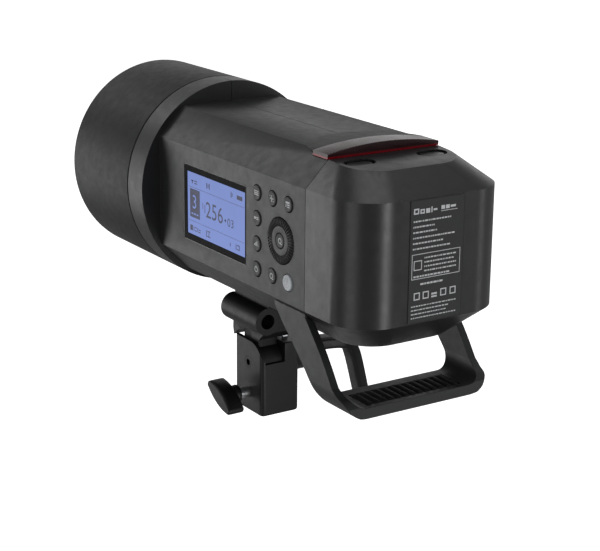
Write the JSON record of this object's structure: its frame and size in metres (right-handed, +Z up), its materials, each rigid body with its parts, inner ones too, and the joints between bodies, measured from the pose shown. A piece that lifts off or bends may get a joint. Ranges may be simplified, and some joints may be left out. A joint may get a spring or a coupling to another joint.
{
  "type": "monolight strobe",
  "caption": "Battery-powered studio flash head with a round protective cap, side display and dial, rear battery, carrying handle and a tilting stand adapter.",
  "frame": {"origin": "centre of the stand socket's mouth, at the bottom of the stand adapter", "axes": "+Z up along the socket, -Y the way the lamp faces, +X towards the display side"},
  "size_m": [0.125, 0.3046, 0.2052],
  "materials": {
    "body_plastic": "fine spark-eroded texture",
    "cap_plastic": "fine spark-eroded texture",
    "battery_plastic": "fine satin texture",
    "label_film": "satin film with light print",
    "mount_plastic": "glass-filled nylon, satin",
    "handle_plastic": "satin",
    "grip_rubber": "moulded ribs",
    "inner_plastic": "plain moulded",
    "chrome_steel": "polished",
    "screw_steel": "zinc plated",
    "brass": "turned",
    "ring_aluminium": "machined",
    "dish_mirror": "polished",
    "clear_glass": "clear",
    "lamp_lens": "LED phosphor",
    "display_window": "black-bordered clear window",
    "display_unit": "backlit",
    "circuit_board": "solder mask",
    "core_ferrite": "potted",
    "cell_wrap": "shrink wrap",
    "sensor_red": "dark red translucent",
    "button_plastic": "moulded",
    "power_plastic": "silver grey",
    "dial_plastic": "knurled"
  },
  "bodies": {
    "stand": {"stand_adapter": "mount_plastic", "tilt_bolt": "chrome_steel", "tilt_collar": "chrome_steel", "tilt_stop_pin": "chrome_steel"},
    "lever": {"tilt_lever": "mount_plastic"},
    "stand_pad": {"clamp_pad": "brass"},
    "stand_screw_knob": {"stand_screw": "chrome_steel", "stand_knob": "mount_plastic"},
    "head": {"tilt_bracket": "mount_plastic", "tilt_bushing": "brass", "bracket_screws": "screw_steel", "left_shell": "body_plastic", "right_shell": "body_plastic", "shell_screws": "screw_steel", "rear_bulkhead": "inner_plastic", "battery_terminals": "inner_plastic", "front_ring": "ring_aluminium", "tube_base": "inner_plastic", "reflector_dish": "dish_mirror", "flash_tube": "clear_glass", "modelling_lamp": "lamp_lens", "glass_dome": "clear_glass", "lcd_window": "display_window", "lcd_module": "display_unit", "control_board": "circuit_board", "encoder_body": "inner_plastic", "main_board": "circuit_board", "capacitor_bank": "ring_aluminium", "charge_transformer": "core_ferrite", "heat_sink": "ring_aluminium", "fan_frame": "inner_plastic", "sensor_window": "sensor_red", "sensor_bezel": "body_plastic", "sync_socket": "inner_plastic", "handle_frame": "handle_plastic", "grip_pad": "grip_rubber"},
    "fan": {"fan_rotor": "inner_plastic"},
    "lock_tip": {"umbrella_pad": "inner_plastic"},
    "lock_knob": {"umbrella_knob": "mount_plastic"},
    "cap": {"lamp_cap": "cap_plastic"},
    "battery": {"battery_case": "battery_plastic", "battery_front_plate": "inner_plastic", "battery_cells": "cell_wrap", "battery_board": "circuit_board", "battery_contacts": "brass", "rating_label": "label_film"},
    "left_release": {"left_release": "button_plastic"},
    "right_release": {"right_release": "button_plastic"},
    "power_button": {"power_button": "power_plastic"},
    "dial": {"dial": "dial_plastic"},
    "dial_button": {"dial_button": "button_plastic"},
    "panel_button_1": {"panel_button_1": "button_plastic"},
    "panel_button_2": {"panel_button_2": "button_plastic"},
    "panel_button_3": {"panel_button_3": "button_plastic"},
    "panel_button_4": {"panel_button_4": "button_plastic"},
    "panel_button_5": {"panel_button_5": "button_plastic"},
    "panel_button_6": {"panel_button_6": "button_plastic"},
    "panel_button_7": {"panel_button_7": "button_plastic"}
  },
  "joints": [
    {"name": "head_tilt", "type": "hinge", "parent": "stand", "child": "head", "pos_m": [0, 0, 0.0314], "axis": [1, 0, 0], "range_deg": [-45, 60]},
    {"name": "lever_turn", "type": "hinge", "parent": "stand", "child": "lever", "pos_m": [0, 0, 0.0314], "axis": [1, 0, 0], "range_deg": [-60, 90]},
    {"name": "stand_pad_slide", "type": "slide", "parent": "stand", "child": "stand_pad", "axis": [1, 0, 0], "range_m": [-0.001, 0.002]},
    {"name": "stand_knob_turn", "type": "hinge", "parent": "stand_pad", "child": "stand_screw_knob", "pos_m": [0.02, 0, 0.0122], "axis": [1, 0, 0], "range_deg": [-240, 480]},
    {"name": "lock_tip_slide", "type": "slide", "parent": "head", "child": "lock_tip", "axis": [-1, 0, 0], "range_m": [-0.0005, 0.0016]},
    {"name": "lock_knob_turn", "type": "hinge", "parent": "lock_tip", "child": "lock_knob", "pos_m": [0, 0.004, 0.0624], "axis": [-1, 0, 0], "range_deg": [-240, 720]},
    {"name": "cap_pull", "type": "slide", "parent": "head", "child": "cap", "axis": [0, -1, 0], "range_m": [0, 0.1]},
    {"name": "battery_pull", "type": "slide", "parent": "head", "child": "battery", "axis": [0, 1, 0], "range_m": [0, 0.06]},
    {"name": "left_release_press", "type": "slide", "parent": "battery", "child": "left_release", "axis": [0, 0, -1], "range_m": [0, 0.002], "stiffness_N_per_m": 300},
    {"name": "right_release_press", "type": "slide", "parent": "battery", "child": "right_release", "axis": [0, 0, -1], "range_m": [0, 0.002], "stiffness_N_per_m": 300},
    {"name": "power_press", "type": "slide", "parent": "head", "child": "power_button", "axis": [-1, 0, 0], "range_m": [0, 0.0006], "stiffness_N_per_m": 200},
    {"name": "dial_press", "type": "slide", "parent": "head", "child": "dial_button", "axis": [-1, 0, 0], "range_m": [0, 0.0006], "stiffness_N_per_m": 200},
    {"name": "dial_turn", "type": "hinge", "parent": "head", "child": "dial", "pos_m": [0.05, 0.0933, 0.1352], "axis": [1, 0, 0], "continuous": true},
    {"name": "fan_spin", "type": "hinge", "parent": "head", "child": "fan", "pos_m": [0, 0.09, 0.1352], "axis": [0, 1, 0], "continuous": true},
    {"name": "panel_button_1_press", "type": "slide", "parent": "head", "child": "panel_button_1", "axis": [-1, 0, 0], "range_m": [0, 0.0006], "stiffness_N_per_m": 200},
    {"name": "panel_button_2_press", "type": "slide", "parent": "head", "child": "panel_button_2", "axis": [-1, 0, 0], "range_m": [0, 0.0006], "stiffness_N_per_m": 200},
    {"name": "panel_button_3_press", "type": "slide", "parent": "head", "child": "panel_button_3", "axis": [-1, 0, 0], "range_m": [0, 0.0006], "stiffness_N_per_m": 200},
    {"name": "panel_button_4_press", "type": "slide", "parent": "head", "child": "panel_button_4", "axis": [-1, 0, 0], "range_m": [0, 0.0006], "stiffness_N_per_m": 200},
    {"name": "panel_button_5_press", "type": "slide", "parent": "head", "child": "panel_button_5", "axis": [-1, 0, 0], "range_m": [0, 0.0006], "stiffness_N_per_m": 200},
    {"name": "panel_button_6_press", "type": "slide", "parent": "head", "child": "panel_button_6", "axis": [-1, 0, 0], "range_m": [0, 0.0006], "stiffness_N_per_m": 200},
    {"name": "panel_button_7_press", "type": "slide", "parent": "head", "child": "panel_button_7", "axis": [-1, 0, 0], "range_m": [0, 0.0006], "stiffness_N_per_m": 200}
  ],
  "couplings": [
    {"joint": "stand_knob_turn", "follows": "stand_pad_slide", "rad_per_m": 4188},
    {"joint": "lock_knob_turn", "follows": "lock_tip_slide", "rad_per_m": 7853}
  ]
}
